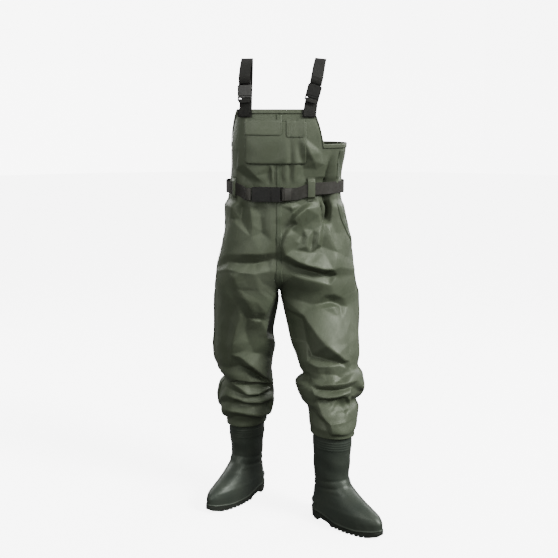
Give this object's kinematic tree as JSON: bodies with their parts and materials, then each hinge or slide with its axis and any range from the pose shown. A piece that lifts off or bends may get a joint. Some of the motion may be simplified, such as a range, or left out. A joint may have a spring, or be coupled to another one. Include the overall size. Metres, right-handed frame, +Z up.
{
  "type": "chest waders",
  "caption": "Waterproof fabric chest waders sealed to moulded boots, with a pocketed bib, belted waist and buckled shoulder straps.",
  "frame": {"origin": "middle of the footprint of the whole object, on the ground", "axes": "+Z up, the bib faces -Y, the wearer's left side is +X"},
  "size_m": [0.6181, 0.4694, 1.5947],
  "materials": {
    "coated_fabric": "olive green PVC-coated nylon, slight gloss",
    "seam_tape": "olive green coated tape, stitched",
    "webbing": "black woven polypropylene webbing",
    "buckle_plastic": "black moulded acetal, fine grain",
    "boot_rubber": "dark green PVC, satin",
    "sole_rubber": "blackish green PVC, matt",
    "insole_foam": "grey felt over foam"
  },
  "bodies": {
    "wader_body": {"right_front_panel": "coated_fabric", "right_back_panel": "coated_fabric", "right_front_belt_loop": "coated_fabric", "right_back_belt_loop": "coated_fabric", "right_side_seam": "seam_tape", "right_inseam": "seam_tape", "right_boot_upper": "boot_rubber", "right_boot_band": "boot_rubber", "right_outsole": "sole_rubber", "right_insole": "insole_foam", "right_strap_insert": "buckle_plastic", "right_strap_tab": "webbing", "right_front_anchor": "webbing", "right_back_anchor": "webbing", "left_front_panel": "coated_fabric", "left_back_panel": "coated_fabric", "left_front_belt_loop": "coated_fabric", "left_back_belt_loop": "coated_fabric", "left_side_seam": "seam_tape", "left_inseam": "seam_tape", "left_boot_upper": "boot_rubber", "left_boot_band": "boot_rubber", "left_outsole": "sole_rubber", "left_insole": "insole_foam", "left_strap_insert": "buckle_plastic", "left_strap_tab": "webbing", "left_front_anchor": "webbing", "left_back_anchor": "webbing", "centre_front_seam": "seam_tape", "bib_hem": "seam_tape", "back_hem": "seam_tape", "chest_pocket": "coated_fabric", "belt_socket": "buckle_plastic", "waist_belt": "webbing"},
    "belt_insert_body": {"belt_insert": "buckle_plastic", "belt_tail": "webbing"},
    "belt_latch_top_body": {"belt_latch_top": "buckle_plastic"},
    "belt_latch_bottom_body": {"belt_latch_bottom": "buckle_plastic"},
    "large_flap_body": {"large_pocket_flap": "coated_fabric"},
    "small_flap_body": {"small_pocket_flap": "coated_fabric"},
    "right_strap_body": {"right_strap_socket": "buckle_plastic", "right_shoulder_strap": "webbing"},
    "right_latch_outer_body": {"right_latch_outer": "buckle_plastic"},
    "right_latch_inner_body": {"right_latch_inner": "buckle_plastic"},
    "left_strap_body": {"left_strap_socket": "buckle_plastic", "left_shoulder_strap": "webbing"},
    "left_latch_outer_body": {"left_latch_outer": "buckle_plastic"},
    "left_latch_inner_body": {"left_latch_inner": "buckle_plastic"}
  },
  "joints": [
    {"name": "right_strap_release", "type": "slide", "parent": "wader_body", "child": "right_strap_body", "axis": [0, 0.158, 0.9874], "range_m": [0, 0.03]},
    {"name": "right_latch_outer_squeeze", "type": "hinge", "parent": "wader_body", "child": "right_latch_outer_body", "pos_m": [-0.17355, -0.03317, 1.46949], "axis": [-0.2332, -0.9602, 0.1536], "range_deg": [-7, 0], "stiffness_Nm_per_rad": 0.05},
    {"name": "right_latch_inner_squeeze", "type": "hinge", "parent": "wader_body", "child": "right_latch_inner_body", "pos_m": [-0.14145, -0.04077, 1.47071], "axis": [-0.2332, -0.9602, 0.1536], "range_deg": [0, 7], "stiffness_Nm_per_rad": 0.05},
    {"name": "left_strap_release", "type": "slide", "parent": "wader_body", "child": "left_strap_body", "axis": [0.2576, 0.1527, 0.9541], "range_m": [0, 0.03]},
    {"name": "left_latch_outer_squeeze", "type": "hinge", "parent": "wader_body", "child": "left_latch_outer_body", "pos_m": [0.07939, -0.04678, 1.46567], "axis": [0.093, -0.9868, 0.1328], "range_deg": [0, 7], "stiffness_Nm_per_rad": 0.05},
    {"name": "left_latch_inner_squeeze", "type": "hinge", "parent": "wader_body", "child": "left_latch_inner_body", "pos_m": [0.04766, -0.04858, 1.47452], "axis": [0.093, -0.9868, 0.1328], "range_deg": [-7, 0], "stiffness_Nm_per_rad": 0.05},
    {"name": "belt_release", "type": "slide", "parent": "wader_body", "child": "belt_insert_body", "axis": [0.995, -0.0995, 0], "range_m": [0, 0.03]},
    {"name": "belt_latch_top_squeeze", "type": "hinge", "parent": "belt_insert_body", "child": "belt_latch_top_body", "pos_m": [-0.0726, -0.06843, 1.1685], "axis": [-0.0995, -0.995, 0], "range_deg": [0, 7], "stiffness_Nm_per_rad": 0.05},
    {"name": "belt_latch_bottom_squeeze", "type": "hinge", "parent": "belt_insert_body", "child": "belt_latch_bottom_body", "pos_m": [-0.0726, -0.06843, 1.1335], "axis": [-0.0995, -0.995, 0], "range_deg": [-7, 0], "stiffness_Nm_per_rad": 0.05},
    {"name": "large_flap_lift", "type": "hinge", "parent": "wader_body", "child": "large_flap_body", "pos_m": [-0.0955, -0.0598, 1.394], "axis": [-1, 0, 0], "range_deg": [0, 150]},
    {"name": "small_flap_lift", "type": "hinge", "parent": "wader_body", "child": "small_flap_body", "pos_m": [0.0085, -0.0598, 1.394], "axis": [-1, 0, 0], "range_deg": [0, 150]}
  ],
  "couplings": [
    {"joint": "right_latch_inner_squeeze", "follows": "right_latch_outer_squeeze", "ratio": -1},
    {"joint": "left_latch_inner_squeeze", "follows": "left_latch_outer_squeeze", "ratio": -1},
    {"joint": "belt_latch_bottom_squeeze", "follows": "belt_latch_top_squeeze", "ratio": -1}
  ]
}
